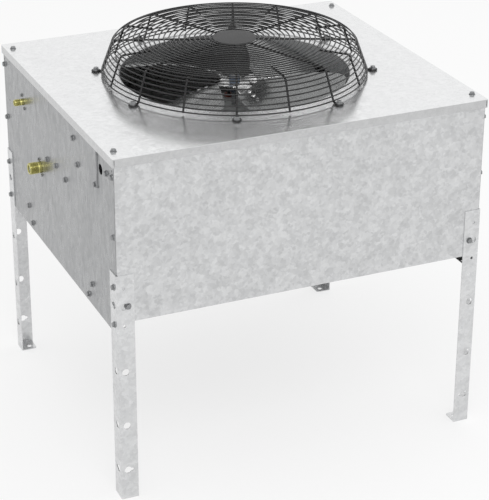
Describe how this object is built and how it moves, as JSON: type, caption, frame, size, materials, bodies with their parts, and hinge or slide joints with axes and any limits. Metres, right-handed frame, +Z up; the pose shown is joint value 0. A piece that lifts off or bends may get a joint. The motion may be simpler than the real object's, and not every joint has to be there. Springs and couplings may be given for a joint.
{
  "type": "remote condenser",
  "caption": "Air-cooled remote condenser: galvanised box on angle legs with an upward-blowing fan under a wire guard, a fin and tube coil and brass couplings.",
  "frame": {"origin": "on the floor, at the middle of the four feet, under the fan's axis", "axes": "+Z up along the fan's axis, +X right along the long front panel, +Y from the front panel to the back; the couplings are on the -X side"},
  "size_m": [0.8755, 0.763, 0.8628],
  "materials": {
    "lid": "galvanised, pale, soft reflections",
    "casing": "galvanised, cloudy spangle, satin",
    "leg": "galvanised, bright satin",
    "screw": "zinc plated, dull",
    "guard": "black, semi-gloss",
    "guard_disc": "dark grey, semi-gloss",
    "motor_paint": "light grey, satin",
    "lamination": "bare laminations",
    "winding": "varnished wire",
    "bronze": "sintered",
    "red_rubber": "matte red-brown",
    "bright_steel": "ground",
    "zinc": "zinc plated, bright",
    "blade": "pressed sheet, satin; it looks dark where it reflects the opening's shadow",
    "rivet": "dull",
    "hub_paint": "blue-grey, satin",
    "copper": "bare copper, dull",
    "fin": "thin mill-finish sheet",
    "brass": "machined, olive yellow",
    "poppet": "turned, grey",
    "spring": "spring wire",
    "capacitor": "grey can",
    "lead": "matte black",
    "bush": "matte black",
    "lead_clip": "zinc plated"
  },
  "bodies": {
    "casing": {"top_panel": "lid", "front_panel": "casing", "rear_panel": "casing", "left_side_panel": "casing", "right_side_panel": "casing", "leg_front_left": "leg", "leg_front_right": "leg", "leg_rear_left": "leg", "leg_rear_right": "leg", "casing_screws": "screw", "fan_orifice": "casing", "guard_long_ribs": "guard", "guard_short_ribs": "guard", "guard_side_rings": "guard", "guard_top_rings": "guard", "guard_hub_disc": "guard_disc", "guard_screws": "screw", "motor_rail_front": "casing", "motor_rail_rear": "casing", "coil_rail_front": "casing", "coil_rail_rear": "casing", "motor_lower_bell": "motor_paint", "motor_upper_bell": "motor_paint", "motor_shell": "motor_paint", "motor_stator": "lamination", "motor_windings": "winding", "motor_bearings": "bronze", "motor_bolts": "screw", "motor_nuts": "screw", "lead_grommet": "red_rubber", "coil_hairpins": "copper", "return_bends": "copper", "coil_fins": "fin", "coil_end_plate_left": "casing", "coil_end_plate_right": "casing", "discharge_line": "copper", "liquid_line": "copper", "discharge_coupling": "brass", "liquid_coupling": "brass", "discharge_spring": "spring", "liquid_spring": "spring", "coupling_screws": "screw", "junction_box": "casing", "run_capacitor": "capacitor", "capacitor_strap": "casing", "motor_lead": "lead", "lead_bush": "bush", "lead_clip": "lead_clip"},
    "fan": {"motor_shaft": "bright_steel", "rotor_core": "lamination", "fan_spider": "zinc", "fan_blade_1": "blade", "fan_blade_2": "blade", "fan_blade_3": "blade", "fan_blade_4": "blade", "blade_rivets": "rivet", "fan_hub": "hub_paint", "hub_set_screw": "screw"},
    "discharge_poppet": {"discharge_poppet": "poppet"},
    "liquid_poppet": {"liquid_poppet": "poppet"}
  },
  "joints": [
    {"name": "fan_spin", "type": "hinge", "parent": "casing", "child": "fan", "pos_m": [0, 0, 0.7], "axis": [0, 0, 1], "continuous": true},
    {"name": "discharge_poppet_slide", "type": "slide", "parent": "casing", "child": "discharge_poppet", "axis": [1, 0, 0], "range_m": [0, 0.004], "stiffness_N_per_m": 1500, "springref_m": -0.002},
    {"name": "liquid_poppet_slide", "type": "slide", "parent": "casing", "child": "liquid_poppet", "axis": [1, 0, 0], "range_m": [0, 0.004], "stiffness_N_per_m": 900, "springref_m": -0.002}
  ]
}
